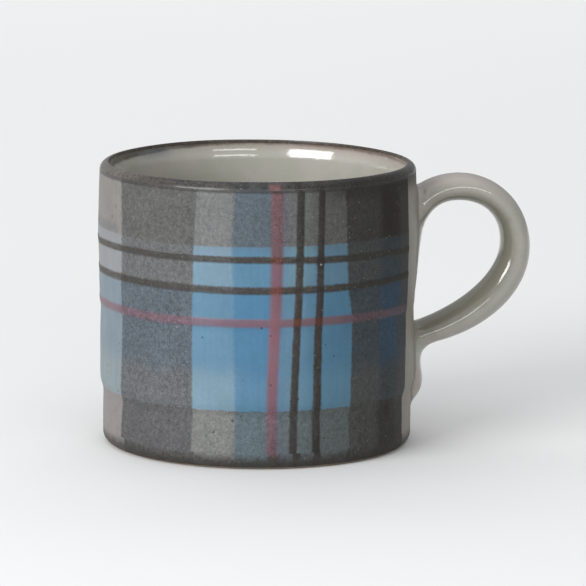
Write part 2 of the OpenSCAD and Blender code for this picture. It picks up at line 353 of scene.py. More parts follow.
def turned(name, section, inner, columns, wobble):
    """A solid of revolution. section runs from the bottom (or the axis) outwards and up, inner the same way on
    the other side. Both are lists of (r, z, Z), with Z the plaid height of the point. wobble(turn, r, z) gives
    the small shifts of radius and height that make it hand-thrown."""
    turns = np.linspace(-180, 180, columns, endpoint=False)
    pts = np.array(section + inner[::-1], float)
    poles = pts[0, 0] < 1e-6
    t, r = np.meshgrid(turns, pts[:, 0])
    z = np.repeat(pts[:, 1:2], columns, 1)
    dr, dz = wobble(t, r, z)
    r, z = r + dr * (r > 0), z + dz
    a = np.radians(t)
    grid = np.stack([r * np.cos(a), r * np.sin(a), z], -1)
    paint = np.stack([angle_of(t), np.repeat(pts[:, 2:3], columns, 1), t], -1)
    parts = Parts()
    rows = slice(1, -1) if poles else slice(None)
    n = len(pts[rows])
    index = parts.points(grid[rows], paint[rows]) + np.arange(n * columns).reshape(n, columns)
    if not poles:
        index = np.vstack([index, index[:1]])
    index = np.hstack([index, index[:, :1]])
    parts.quads(index[:-1, :-1], index[:-1, 1:], index[1:, 1:], index[1:, :-1])
    if poles:
        first = parts.points(grid[0, :1], paint[0, :1])
        last = parts.points(grid[-1, :1], paint[-1, :1])
        parts.faces += [[first, int(q), int(p)] for p, q in zip(index[0, :-1], index[0, 1:])]
        parts.faces += [[last, int(p), int(q)] for p, q in zip(index[-1, :-1], index[-1, 1:])]
    parts.build(name)


def arc(cx, cz, radius, start, end, steps):
    return [(cx + radius * math.cos(math.radians(k)), cz + radius * math.sin(math.radians(k)))
            for k in np.linspace(start, end, steps)]


def follow_wall(t, r, z):
    """Keeps a turned piece on the bent wall where it meets the coats, and fades that out inwards."""
    target = wall_radius(t, z) - np.interp(z, WALL_Z, WALL_R)
    share = np.clip((r - (RIM_R - 3.6)) / 2.6, 0, 1)
    return target * share, 0 * z


def with_z(points):
    return [(r, z, z) for r, z in points]


ROUND = 2.75     # radius of the foot's outer edge
BASE_R = float(WALL_R[0])
foot_section = with_z(arc(BASE_R - ROUND, ROUND, ROUND, -52.0, 0, 14)
                      + [(BASE_R, z) for z in np.linspace(ROUND + 0.3, PAINT_LOW, 5)])
foot_inner = [(r - COAT * 0.9, z + 0.05, z) for r, z, _ in foot_section[:-1]] + [
    (BASE_R - COAT, PAINT_LOW, PAINT_LOW)]
turned("foot_band_slip", foot_section, foot_inner, 480, follow_wall)

LIP_OUT = TOP - PAINT_TOP
LIP_IN = RIM_R - INNER_R - LIP_OUT


def lip(depth):
    """The lip's section from outside over the top to inside, depth under its surface."""
    return (arc(RIM_R - LIP_OUT, PAINT_TOP, LIP_OUT - depth, 0, 90, 22)
            + arc(RIM_R - LIP_OUT, TOP - LIP_IN, LIP_IN - depth, 90, 180, 12)[1:])


steps = [math.dist(a, b) for a, b in zip(lip(0.0)[:-1], lip(0.0)[1:])]
lengths = np.concatenate([[0], np.cumsum(steps)])
rim_section, rim_inner = ([(r, z, PAINT_TOP + s) for (r, z), s in zip(lip(depth), lengths)]
                          for depth in (0.0, COAT))
# the inside opens by FLARE over the last FLARE_DEEP under the lip
FLARE, FLARE_DEEP = 0.85, 5.6


def rim_wobble(t, r, z):
    dr, _ = follow_wall(t, r, np.minimum(z, PAINT_TOP))
    a = np.radians(t)
    lift = np.clip((z - PAINT_TOP) / LIP_OUT, 0, 1)
    dip = -0.18 - 0.14 * np.cos(2 * a - 0.3) + 0.03 * np.sin(7 * a + 1)
    return dr + FLARE * np.clip((RIM_R - LIP_OUT - r) / LIP_IN, 0, 1), dip * lift


turned("rim_band_slip", rim_section, rim_inner, 560, rim_wobble)

# The inside: a straight wall that flares under the lip, a round corner, and a floor with a throwing spiral
LINER_TOP = TOP - LIP_IN
CORNER = 8.0


def inside_profile(off, floor_rows, corner_rows, wall_rows):
    """From the axis along the floor and up the wall to the lip, off outside the glazed surface."""
    points = [(r, FLOOR_Z - off) for r in np.linspace(0, INNER_R - CORNER, floor_rows)]
    points += arc(INNER_R - CORNER, FLOOR_Z + CORNER, CORNER + off, -90, 0, corner_rows)[1:]
    points += [(INNER_R + off, z) for z in np.linspace(FLOOR_Z + CORNER, LINER_TOP, wall_rows)[1:]]
    return with_z(points)


def liner_wobble(t, r, z):
    a = np.radians(t)
    flare = FLARE * smooth_interp(z, [LINER_TOP - d for d in (FLARE_DEEP, 4.2, 1.4, 0)], [0, 0.08, 0.92, 1])
    rings = 0.05 * np.sin(z * 0.75 + a) * np.clip((z - 12) / 10, 0, 1)
    near = np.clip((LINER_TOP - z) / 6.0, 0, 1)
    out = 0.06 * np.sin(3 * a + z / 15) + 0.04 * np.sin(7 * a + z / 6)
    spiral = 0.08 * np.sin(r * 1.1 - a) * np.clip(1 - np.abs(z - FLOOR_Z) / 1.5, 0, 1) * np.clip(r / 6, 0, 1)
    _, dz = rim_wobble(t, r, z)
    return np.where(z > FLOOR_Z + CORNER, flare, 0) + (rings + out) * near, spiral + dz


# rows along the floor, the corner and the wall
HIDDEN_ROWS, SEEN_ROWS = (16, 10, 36), (46, 16, 84)
turned("liner_glaze_coat", inside_profile(COAT * 0.8, *HIDDEN_ROWS), inside_profile(0.0, *SEEN_ROWS), 360,
       liner_wobble)

# The clay of the cup, just under its coats. The foot ring is bare, with the rings that the turning tool left.
UNDER = 0.3                      # how far the clay stays under the outside of the coats
CLAY_TOP = TOP - 1.3
FOOT_EDGE = BASE_R - ROUND
FOOT_INNER = FOOT_EDGE - 5.0     # the foot ring is 5 mm wide
HOLLOW = 1.5                     # height of the hollow inside it
FOOT_ROUND = 0.7
under_clay = [(r, HOLLOW) for r in np.linspace(0, FOOT_INNER - 1.5, 100)]
under_clay += arc(FOOT_INNER - 1.5, HOLLOW - FOOT_ROUND, FOOT_ROUND, 90, 0, 6)[1:]
under_clay += arc(FOOT_INNER - 0.1, FOOT_ROUND, FOOT_ROUND, 180, 270, 8)
under_clay += [(r, 0.0) for r in np.linspace(FOOT_INNER + 0.6, FOOT_EDGE, 12)[1:]]
under_clay += arc(FOOT_EDGE, ROUND, ROUND, -90, -54, 8)[1:]
under_clay += arc(FOOT_EDGE, ROUND, ROUND - UNDER, -48, 0, 8)
wall_clay = [(float(np.interp(z, WALL_Z, WALL_R)) - UNDER, z)
             for z in np.linspace(PAINT_LOW, PAINT_TOP - 0.5, 36)]
wall_clay += [(RIM_R - 1.2, CLAY_TOP - 0.4), (RIM_R - 1.5, CLAY_TOP)]
inner_clay = [point for point in inside_profile(UNDER, *HIDDEN_ROWS) if point[1] < CLAY_TOP - 0.5] + [
    (INNER_R + UNDER + 0.25, CLAY_TOP - 0.3, 0), (INNER_R + 0.7, CLAY_TOP, 0)]


def cup_wobble(t, r, z):
    inside = (r < INNER_R + 1.0) & (z > 3.0)
    dr_in, dz_in = liner_wobble(t, r, z)
    dr_out, _ = follow_wall(t, r, np.minimum(z, PAINT_TOP))
    bare = (z < 2.0) & (r < FOOT_INNER)
    tool = 0.09 * np.sin(r * 2.4 + 0.4 * np.sin(r)) + 0.06 * np.sin(r * 0.7 + np.radians(t))
    return np.where(inside, dr_in, dr_out * (z > 0.6)), np.where(inside, dz_in, tool * bare * (z > 1.2))


turned("cup_body_clay", with_z(under_clay + wall_clay), inner_clay, 300, cup_wobble)

# ---- the handle

# The strap's outer and inner line, from the upper root to the tail's end: joined Bezier curves of (x, z),
# x from just inside the wall and z as if the mug were 80 high
OUTER = [(-2.5, 36), (-2.5, 48), (-2.5, 60), (-2.5, 68.5), (1.5, 72.6), (7, 75.4), (13.5, 75.4), (25, 75.4),
         (34.3, 66), (34.3, 54), (34.3, 41), (22.5, 31), (8.5, 27.5), (4.5, 26.5), (2.7, 25.2), (2.7, 22),
         (2.7, 19), (4.4, 15.5), (1.9, 12.4), (1.1, 11.4), (-0.6, 10.6), (-2.5, 10)]
INNER = [(-2, 35.5), (1.4, 42), (0.8, 52), (2.7, 59.5), (4.2, 65), (7.7, 67.7), (13, 67.7), (20.5, 67.7),
         (25.9, 63), (25.9, 55.5), (25.9, 46), (14.5, 36.8), (0, 32.3), (-2.5, 31.3), (-3.2, 29), (-3.2, 26),
         (-3.2, 22), (-3.2, 18), (-3.2, 14), (-3.2, 12), (-3, 10), (-3, 9)]
STRAP_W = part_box("handle_glaze")[1].y / MM * 2 / 1.25
WIDTHS = [0.35, 1.25, 1, 0.95, 1.1, 1.15, 1.05, 0.5]     # times STRAP_W, at the ends of the curves
RINGS_PER_CURVE = [22, 20, 32, 36, 14, 14, 8]
UNIT_Z = TOP / 80
SECTION = 60      # points round the strap
SQUARE = 2.15     # how square its section is: 2 is an ellipse


def on_line(line, k, t):
    """The point at t, 0 to 1, of a line's curve k."""
    c = np.array(line[3 * k:3 * k + 4], float)
    x, z = c[0] * (1 - t) ** 3 + c[1] * 3 * t * (1 - t) ** 2 + c[2] * 3 * t * t * (1 - t) + c[3] * t**3
    return np.array([RIM_R - 0.5 + x, z * UNIT_Z])


def strap(inset):
    """Points, faces and grid size of the handle, inset under its glaze."""
    rings = []
    a = np.radians(np.arange(SECTION) * 360 / SECTION)
    co, si = np.cos(a), np.sin(a)
    for k, steps in enumerate(RINGS_PER_CURVE):
        for j in range(steps + (k == len(RINGS_PER_CURVE) - 1)):
            t = j / steps
            inner, outer = on_line(INNER, k, t), on_line(OUTER, k, t)
            u = t * t * (3 - 2 * t)
            width = STRAP_W * (WIDTHS[k] * (1 - u) + WIDTHS[k + 1] * u)
            mid, half = (inner + outer) / 2, (outer - inner) / 2
            size = np.linalg.norm(half)
            direction = half / size
            s = (size - inset) * np.sign(co) * np.abs(co) ** (2 / SQUARE)
            w = (width / 2 - inset) * np.sign(si) * np.abs(si) ** (2 / SQUARE)
            rings.append(np.stack([mid[0] + s * direction[0], w, mid[1] + s * direction[1]], -1))
    rings = np.array(rings)
    n, m = rings.shape[:2]
    idx = np.arange(n * m).reshape(n, m)
    nxt = np.roll(idx, -1, axis=1)
    faces = np.stack([idx[:-1].ravel(), idx[1:].ravel(), nxt[1:].ravel(), nxt[:-1].ravel()], -1).tolist()
    faces += [idx[0].tolist(), idx[-1][::-1].tolist()]
    return rings.reshape(-1, 3), faces, (n, m)


# The plain strip of wall that carries the handle, and the handle's glaze, melt into each other like one soft
# body: both are moved onto the smooth union of the wall and the strap.
MELT = 2.6         # how far from the meeting line the melting reaches
DEEPEST = -1.6     # points deeper than this in one of them stay where they are
SINK = 0.14        # what lies well inside the other body ends this far below its surface


def melt(points, tree):
    """Moves points that lie near both the wall and the strap onto their smooth union. Returns the points and,
    by index, the normals of the union where they were moved."""
    points = points.copy()
    normals, sink = {}, {}
    for _ in range(4):
        turn = np.degrees(np.arctan2(points[:, 1], points[:, 0]))
        r = np.hypot(points[:, 0], points[:, 1])
        to_wall = r - wall_radius(turn, points[:, 2])
        for i in np.flatnonzero(to_wall < MELT):
            p = Vector(points[i])
            hit, normal, _, _ = tree.find_nearest(p)
            a, b = to_wall[i], (p - hit).length * (1 if (p - hit).dot(normal) >= 0 else -1)
            if min(a, b) < DEEPEST or abs(a - b) >= MELT:
                continue
            h = (MELT - abs(a - b)) / MELT
            sink.setdefault(i, SINK * min(1.0, max(0.0, (-min(a, b) - 0.35) / 0.6)))
            union = min(a, b) - h * h * MELT / 4 + sink[i]
            w = 0.5 + 0.5 * (b - a) / MELT
            radial = Vector((points[i, 0] / r[i], points[i, 1] / r[i], 0))
            g = radial * w + normal * (1 - w)
            if g.length > 0.2:
                points[i] -= union * np.array(g.normalized())
                normals[int(i)] = g.normalized()
    return points, normals


def shade_by(obj, normals, others):
    """Gives a piece its normals: the union's where it was moved, else others."""
    chosen = [normals.get(i, n) for i, n in enumerate(others)]
    obj.data.normals_split_custom_set_from_vertices(chosen)


strap_co, strap_faces, strap_shape = strap(0.0)
strap_tree = BVHTree.FromPolygons([tuple(p) for p in strap_co], strap_faces)
melted, melted_normals = melt(strap_co, strap_tree)
# the first number tells the outer face, 1, from the inner one, -1
facing = np.tile(np.cos(np.arange(SECTION) * 2 * np.pi / SECTION), strap_shape[0])
strap_paint = np.stack([facing, melted[:, 2]], -1)
pieces["handle_glaze"] = new_piece("handle_glaze_coat", melted, strap_faces, strap_paint, sharp=None)
own_normals = [v.vector for v in pieces["handle_glaze"].data.vertex_normals]
shade_by(pieces["handle_glaze"], melted_normals, own_normals)

CORE_DEPTH = 0.9
core_co, core_faces, _ = strap(CORE_DEPTH)
pieces["handle"] = new_piece("handle_clay_core", core_co, core_faces, sharp=None)

parts = Parts()
turns = np.linspace(-STRIP, STRIP, 121)
t, z = np.meshgrid(turns, rows_between(PAINT_LOW, PAINT_TOP, 0.5))
paint = np.stack([angle_of(t), z], -1)
outer = place(t, z, 0.0)
moved, moved_normals = melt(outer.reshape(-1, 3), strap_tree)
parts.slab(moved.reshape(outer.shape), place(t, z, -COAT), paint)
parts.build("handle_side_glaze_coat")
radial = np.concatenate(parts.co) * [1, 1, 0]
radial /= np.linalg.norm(radial, axis=1, keepdims=True)
shade_by(pieces["handle_side_glaze"], moved_normals, [Vector(n) for n in radial])

# The slip that glues the two roots to the wall: one thin pad inside each root
slip = node_points("luting_slip")
parts = Parts()
heights = np.sort(np.unique(np.round(slip[:, 2], 2)))
split = int(np.argmax(np.diff(heights)))
for low, high in ((heights[0], heights[split]), (heights[split + 1], heights[-1])):     # lower, upper root
    here = slip[(slip[:, 2] >= low - 0.01) & (slip[:, 2] <= high + 0.01)]
    across = float(np.degrees(np.abs(np.arctan2(here[:, 1], here[:, 0])).max()))
    u, v = np.meshgrid(np.linspace(-1, 1, 25), np.linspace(-1, 1, 25))
    round_u = u * np.sqrt(1 - 0.45 * v * v)
    round_v = v * np.sqrt(1 - 0.45 * u * u)
    turn = round_u * across * 0.62
    z = (low + high) / 2 + round_v * (high - low) / 2 * 0.66
    thick = 0.3 * np.clip(1.1 - round_u**2 - round_v**2, 0.1, 1)
    parts.slab(on_wall(turn, z, thick - 0.1), on_wall(turn, z, -0.3), np.stack([turn, z], -1))
parts.build("luting_slip_pads")

# ---- materials

ARC = RIM_R * math.pi / 180     # millimetres of wall per degree


def linear(rgb):
    """sRGB 0 to 255 as the linear colour that a shader takes."""
    c = [v / 255 for v in rgb]
    return tuple(v / 12.92 if v <= 0.04045 else ((v + 0.055) / 1.055) ** 2.4 for v in c) + (1.0,)


class Tree:
    """Short names for building a node tree."""

    def __init__(self, tree):
        self.tree = tree

    def plug(self, socket, value):
        if isinstance(value, bpy.types.NodeSocket):
            self.tree.links.new(value, socket)
        elif value is not None:
            socket.default_value = value

    def node(self, kind, inputs=(), **settings):
        """A new node; inputs are values or sockets, in order or by name."""
        n = self.tree.nodes.new(kind)
        for key, value in settings.items():
            setattr(n, key, value)
        for key, value in inputs.items() if isinstance(inputs, dict) else enumerate(inputs):
            self.plug(n.inputs[key], value)
        return n

    def math(self, operation, a, b=None):
        return self.node("ShaderNodeMath", (a, b), operation=operation).outputs[0]

    def add(self, a, b):
        return self.math("ADD", a, b)

    def sub(self, a, b):
        return self.math("SUBTRACT", a, b)

    def mul(self, a, b):
        return self.math("MULTIPLY", a, b)

    def swing(self, value, size):
        """A value from 0 to 1 as one from -size / 2 to size / 2."""
        return self.mul(self.sub(value, 0.5), size)

    def slope(self, value, low, high, to_low, to_high, kind="LINEAR"):
        """to_low to to_high as value goes from low to high, and level beyond them."""
        inputs = (value, low, high, to_low, to_high)
        return self.node("ShaderNodeMapRange", inputs, interpolation_type=kind).outputs[0]

    def ease(self, value, low, high, to_low=0.0, to_high=1.0):
        """A smooth slope. It falls where low is the larger."""
        if low > high:
            low, high, to_low, to_high = high, low, to_high, to_low
        return self.slope(value, low, high, to_low, to_high, "SMOOTHSTEP")

    def mix(self, share, a, b, kind="MIX"):
        """a and b are sockets or sRGB colours."""
        a, b = (linear(colour) if isinstance(colour, tuple) else colour for colour in (a, b))
        inputs = {"Factor": share, 6: a, 7: b}
        return self.node("ShaderNodeMix", inputs, data_type="RGBA", blend_type=kind).outputs[2]

    def noise(self, vector, size, detail=2.0, rough=0.5):
        """Noise from 0 to 1 whose lumps are about size millimetres, for a vector in millimetres."""
        inputs = {"Vector": vector, "Scale": 1.0 / size, "Detail": detail, "Roughness": rough}
        return self.node("ShaderNodeTexNoise", inputs).outputs[0]

    def specks(self, vector, size, share, radius):
        """Round specks, 1 inside and 0 outside: one cell in 1/share holds one."""
        cells = self.node("ShaderNodeTexVoronoi", {"Vector": vector, "Scale": 1.0 / size}, feature="F1").outputs
        pick = self.node("ShaderNodeSeparateColor", (cells["Color"],)).outputs
        reach = self.add(self.mul(pick[1], radius), radius * 0.4)
        near = self.math("LESS_THAN", cells["Distance"], reach)
        return self.mul(self.math("LESS_THAN", pick[0], share), near)

    def vector(self, x, y, z):
        return self.node("ShaderNodeCombineXYZ", (x, y, z)).outputs[0]

    def parts(self, vector):
        return self.node("ShaderNodeSeparateXYZ", (vector,)).outputs[:]

    def ramp(self, share, stops):
        n = self.node("ShaderNodeValToRGB", (share,))
        stops = sorted(stops)
        elements = n.color_ramp.elements
        while len(elements) > 1:
            elements.remove(elements[-1])
        elements[0].position, elements[0].color = stops[0][0], linear(stops[0][1])
        for at, colour in stops[1:]:
            elements.new(at).color = linear(colour)
        return n.outputs[0]

    def millimetres(self):
        metres = self.node("ShaderNodeTexCoord").outputs["Object"]
        return self.node("ShaderNodeVectorMath", {0: metres, "Scale": 1.0 / MM}, operation="SCALE").outputs[0]

    def paint(self):
        """The two numbers that each vertex keeps: plaid angle and height, or the handle's side and height."""
        return self.parts(self.node("ShaderNodeAttribute", attribute_name="paint").outputs["Vector"])[:2]

    def bump(self, height, depth):
        """depth: metres between height 0 and height 1."""
        return self.node("ShaderNodeBump", {"Strength": 1.0, "Distance": depth, "Height": height}).outputs[0]


# The plaid's colours by band, from the handle round to the far side:
# strip, column beside it, navy, column, panel right, middle, left, deep column, panel, far column, far side
ZONE_EDGES = [STRIP, NAVY_FROM, NAVY_TO, PANEL_START, 79.5, 87.5, RED_AT + 0.5, DEEP_TO, PANEL_END, FAR_SIDE]
ZONE_SOFT = [0.10, 1.4, 1.6, 0.10, 3.0, 2.0, 0.5, 0.35, 0.12, 0.12]
BAND_COLOURS = {
    "bottom": [(125, 118, 111), (51, 50, 46), (41, 40, 36), (60, 61, 58), (74, 80, 80), (78, 86, 88),
               (77, 83, 91), (76, 88, 94), (102, 103, 101), (75, 75, 76), (116, 111, 110)],
    "low": [(123, 119, 111), (55, 57, 58), (46, 52, 53), (62, 64, 62), (71, 104, 123), (83, 112, 129),
            (78, 106, 128), (72, 108, 132), (99, 124, 138), (84, 86, 88), (112, 122, 126)],
    "deep": [(123, 120, 111), (49, 54, 58), (35, 56, 73), (48, 55, 60), (62, 98, 120), (78, 110, 130),
             (73, 104, 126), (62, 102, 130), (78, 111, 133), (73, 81, 88), (102, 114, 123)],
    "upper": [(123, 120, 111), (48, 51, 52), (40, 49, 55), (53, 55, 55), (72, 101, 118), (89, 119, 131),
              (83, 109, 130), (73, 109, 132), (98, 123, 139), (85, 86, 87), (118, 121, 123)],
    "top": [(124, 121, 113), (42, 40, 38), (29, 23, 16), (44, 43, 40), (71, 71, 68), (85, 87, 85),
            (82, 82, 87), (72, 81, 88), (96, 97, 97), (77, 77, 76), (112, 109, 105)],
}
# Colours along a ring, by angle
DARK_RING_COLOURS = [
    (0, (50, 46, 43)), (36, (37, 35, 31)), (60, (40, 39, 35)), (64, (48, 45, 41)), (84, (57, 52, 48)),
    (104, (52, 50, 48)), (108, (63, 61, 60)), (121, (64, 63, 61)), (123, (54, 52, 49)), (154, (54, 52, 49)),
    (158, (69, 65, 63)), (180, (74, 70, 67))]
RED_RING_COLOURS = [
    (0, (80, 70, 73)), (36, (77, 66, 71)), (58, (75, 59, 63)), (64, (86, 65, 72)), (84, (96, 75, 82)),
    (104, (100, 76, 88)), (118, (102, 84, 96)), (124, (97, 76, 85)), (153, (93, 74, 82)), (159, (102, 84, 90)),
    (180, (104, 88, 92))]


def crossing(at, half, before, on, after):
    """Colours of an upright where it crosses the ring at height at."""
    return [(at - 1.4, before), (at - half, on), (at + half, on), (at + 1.4, after)]


# Colours along an upright, by height
RED_UPRIGHT_COLOURS = [
    (0, (57, 42, 40)), (3, (65, 49, 48)), (4.6, (87, 67, 72)), (12, (94, 72, 79)), (20, (104, 75, 85)),
    (RED_RING, (108, 76, 85)), *crossing(RINGS[0], 0.6, (100, 74, 83), (88, 49, 42), (100, 72, 82)),
    *crossing(RINGS[1], 0.6, (100, 73, 83), (84, 48, 41), (87, 66, 70)),
    (66, (89, 66, 70)), (77.5, (92, 66, 71)), (79.5, (87, 66, 68)), (84, (80, 59, 59))]
DARK_UPRIGHT_COLOURS = [
    [(0, (32, 29, 25)), (5, (35, 34, 30)), (12, (45, 42, 39)), (30, (45, 42, 38)),
     *crossing(RED_RING, 0.7, (46, 40, 38), (68, 40, 32), (45, 39, 37)), (RINGS[0] - 1, (43, 40, 38)),
     (RINGS[0], (34, 32, 27)), (RINGS[0] + 1, (50, 46, 44)), (RINGS[1] - 1, (43, 40, 38)),
     (RINGS[1], (35, 33, 30)), (61, (45, 42, 39)), (70, (40, 38, 35)), (78, (36, 33, 29))],
    [(0, (40, 36, 31)), (5, (45, 42, 38)), (12, (51, 48, 46)), (30, (48, 46, 43)),
     *crossing(RED_RING, 0.7, (48, 42, 39), (78, 45, 37), (50, 42, 39)), (RINGS[0] - 1, (50, 46, 44)),
     (RINGS[0], (41, 37, 33)), (RINGS[0] + 1, (55, 52, 48)), (RINGS[1] - 1, (50, 48, 44)),
     (RINGS[1], (42, 40, 38)), (61, (48, 46, 44)), (70, (41, 40, 37)), (78, (48, 44, 42))]]
SPAN_Z = 90.0     # the height that the colours along an upright are spread over
# How much granular dark slip there is, 0 to 255, at both ends of: strip, columns, panel, far column, far side
GRAIN_EDGES = [STRIP, PANEL_START, PANEL_END, FAR_SIDE]
GRAIN_PLAIN = [(60, 60), (255, 255), (215, 225), (255, 255), (150, 150)]
GRAIN_BLUE = [(60, 60), (240, 240), (95, 95), (255, 255), (90, 90)]
# the last of these is a painted shade colour, for the wall under the lip on the handle side
FOOT_IRON, SEAM_IRON, IRON_PAINTED_SHADE = (50, 48, 45), (36, 33, 31), (32, 29, 27)
# the worn and far crest colours are paler partly for wear and the pale ground, and partly as painted light on
# the side the light comes from
LIP_IRON, LIP_WORN_AND_LIT, LIP_FAR_PALE_AND_LIT = (28, 25, 22), (48, 45, 42), (84, 77, 71)
LIP_INSIDE, LIP_RED = (66, 60, 54), (112, 74, 76)
# the second colour is for painted glints: pale specks that stand for tiny highlights on the grain
SMUDGE, PAINTED_GLINT, DARK_SPECK = (88, 91, 93), (124, 122, 116), (40, 36, 32)
# Marks on the front: angle, height, radius, softness, cover, colour, stretch along the wall
BLOTS = [
    (42, 13.5, 2.0, 1.6, 0.75, (30, 26, 23), 0.8),     # dark run of slip low on the navy stripe
    (43, 69.5, 3.2, 2.8, 0.6, (24, 21, 18), 0.7),      # dark patch high on it
    (DARK_AT[0], RINGS[1] - 0.7, 1.5, 0.4, 0.7, (34, 31, 29), 1.0),
    (DARK_AT[0], RINGS[1] - 1.4, 0.34, 0.16, 0.8, (140, 134, 130), 1.0),     # burst bubble
    (128, 39.5, 0.2, 0.2, 0.5, (130, 130, 127), 3.0), (131, 37.8, 0.16, 0.2, 0.45, (124, 124, 122), 2.0),
    (126, 36.6, 0.2, 0.2, 0.45, (126, 126, 123), 1.5),     # three pale scratches
    (113.5, 10.5, 0.42, 0.2, 0.8, (40, 36, 32), 1.0), (163, 67.5, 0.4, 0.2, 0.8, (46, 40, 36), 1.0),
    (168, 24, 0.3, 0.2, 0.7, (60, 54, 50), 1.0), (160, 70.5, 0.3, 0.15, 0.7, (50, 44, 40), 1.0),
]


def plaid_group():
    """Colour, roughness and surface height of everything painted on the outside, by plaid coordinate."""
    tree = bpy.data.node_groups.new("painted_plaid", "ShaderNodeTree")
    for name, kind in (("Color", "Color"), ("Roughness", "Float"), ("Height", "Float")):
        tree.interface.new_socket(name, in_out="OUTPUT", socket_type="NodeSocket" + kind)
    g = Tree(tree)
    a, z = g.paint()
    p = g.millimetres()

    # the brush: edges waver by a fraction of a millimetre and are slightly ragged
    s = g.mul(a, ARC)
    sway = g.add(g.swing(g.noise(p, 0.55, 3.0, 0.6), 0.9), g.swing(g.noise(p, 1.6, 2.0), 0.7))
    s_edge = g.add(s, sway)
    z_edge = g.add(z, g.mul(sway, 0.8))
    share = g.math("DIVIDE", s_edge, 180 * ARC)
    share_z = g.math("DIVIDE", z_edge, SPAN_Z)

    def by_angle(colours):
        return g.ramp(share, [(at / 180, c) for at, c in colours])

    def by_height(colours):
        return g.ramp(share_z, [(at / SPAN_Z, c) for at, c in colours])

    bands = {}
    for band, colours in BAND_COLOURS.items():
        stops = [(0, colours[0]), (180, colours[-1])]
        for edge, soft, before, after in zip(ZONE_EDGES, ZONE_SOFT, colours, colours[1:]):
            stops += [(edge - soft, before), (edge + soft, after)]
        bands[band] = by_angle(stops)

    cloud = g.noise(p, 7.0, 3.0)
    z_soft = g.add(z, g.swing(cloud, 9.0))
    colour = g.mix(g.ease(z_edge, BLUE_LOW - 0.2, BLUE_LOW + 0.2), bands["bottom"], bands["low"])
    colour = g.mix(g.ease(z_soft, DEEP_LOW - 5.5, DEEP_LOW + 2.5), colour, bands["deep"])
    colour = g.mix(g.ease(z_edge, DEEP_TOP - 0.3, DEEP_TOP + 0.3), colour, bands["upper"])
    colour = g.mix(g.ease(z_soft, BLUE_TOP - 4.0, BLUE_TOP, 0.0, 0.28), colour, bands["top"])
    colour = g.mix(g.ease(z_edge, BLUE_TOP - 0.22, BLUE_TOP + 0.22), colour, bands["top"])

    # how much of the granular dark slip is here: full on the columns, little on the blue
    def grain_ramp(levels):
        ends = [0] + [edge + side for edge in GRAIN_EDGES for side in (-0.2, 0.2)] + [180]
        return by_angle([(at, (level,) * 3) for at, level in zip(ends, sum(levels, ()))])

    in_blue = g.mul(g.ease(z_edge, BLUE_LOW - 0.2, BLUE_LOW + 0.3),
                    g.ease(z_edge, BLUE_TOP + 0.3, BLUE_TOP - 0.3))
    grain = g.mix(in_blue, grain_ramp(GRAIN_PLAIN), grain_ramp(GRAIN_BLUE))

    # brushed lines
    def band_mask(value, centre, core, edge):
        return g.ease(g.math("ABSOLUTE", g.sub(value, centre)), edge, core)

    s_line = g.add(s, g.mul(sway, 0.45))
    z_line = g.add(z, g.mul(sway, 0.45))
    beyond = g.ease(s_edge, STRIP * ARC, (STRIP + 0.4) * ARC)
    ring_cover = g.math("MAXIMUM", band_mask(z_line, RINGS[0], 0.62, 1.45),
                        band_mask(z_line, RINGS[1], 0.6, 1.4))
    red_cover = band_mask(z_line, RED_RING, 0.6, 1.75)
    drag = g.noise(g.vector(g.mul(s, 0.12), z, 0.0), 0.7, 3.0)   # long streaks along a ring
    fade = g.ease(drag, 0.25, 0.5, 0.85, 1.0)
    ring_cover = g.mul(g.mul(ring_cover, beyond), fade)
    red_cover = g.mul(g.mul(red_cover, beyond), g.mul(fade, 0.97))
    drag_up = g.noise(g.vector(s, g.mul(z, 0.12), 5.0), 0.7, 3.0)
    fade_up = g.ease(drag_up, 0.25, 0.5, 0.9, 1.0)
    colour = g.mix(ring_cover, colour, by_angle(DARK_RING_COLOURS))
    colour = g.mix(red_cover, colour, by_angle(RED_RING_COLOURS))
    up_red = g.mul(band_mask(s_line, RED_AT * ARC, 0.85, 2.35), fade_up)
    colour = g.mix(up_red, colour, by_height(RED_UPRIGHT_COLOURS))
    dark_cover = ring_cover
    for at, colours in zip(DARK_AT, DARK_UPRIGHT_COLOURS):
        cover = g.mul(band_mask(s_line, at * ARC, 0.75, 1.5), fade_up)
        colour = g.mix(cover, colour, by_height(colours))
        dark_cover = g.math("MAXIMUM", dark_cover, cover)
    calm = g.sub(1.0, g.mul(dark_cover, 0.15))
    grain = g.mul(g.math("MAXIMUM", grain, dark_cover), calm)

    # iron slip over the foot and the lip, with painted shade under the lip on the handle side and painted light
    # on the crest
    patchy = g.noise(p, 2.2, 4.0, 0.6)
    foot = g.ease(g.add(z, g.swing(patchy, 2.2)), 5.4, 2.0, 0.0, 0.93)
    colour = g.mix(g.mul(foot, g.ease(z, PAINT_LOW + 1.2, PAINT_LOW - 0.6)), colour, FOOT_IRON)
    lip_z = g.add(z, g.swing(patchy, 0.5))
    under_lip = band_mask(lip_z, PAINT_TOP + 0.2, 0.25, 0.9)
    crest = g.ease(lip_z, PAINT_TOP + 0.2, PAINT_TOP + 1.0)
    inner_lip = g.ease(lip_z, PAINT_TOP + 3.2, PAINT_TOP + 4.6)
    # paler patches on the crest from the front round to the far side: wear, and painted light from the left
    # front; the far side is paler still, from the pale ground and painted light
    worn_and_lit = g.mul(g.ease(s, 66 * ARC, 96 * ARC), g.ease(g.noise(p, 3.5, 3.0), 0.38, 0.6))
    crest_colour = g.mix(g.ease(s, 118 * ARC, 165 * ARC, 0.0, 0.8), g.mix(worn_and_lit, LIP_IRON, LIP_WORN_AND_LIT), LIP_FAR_PALE_AND_LIT)
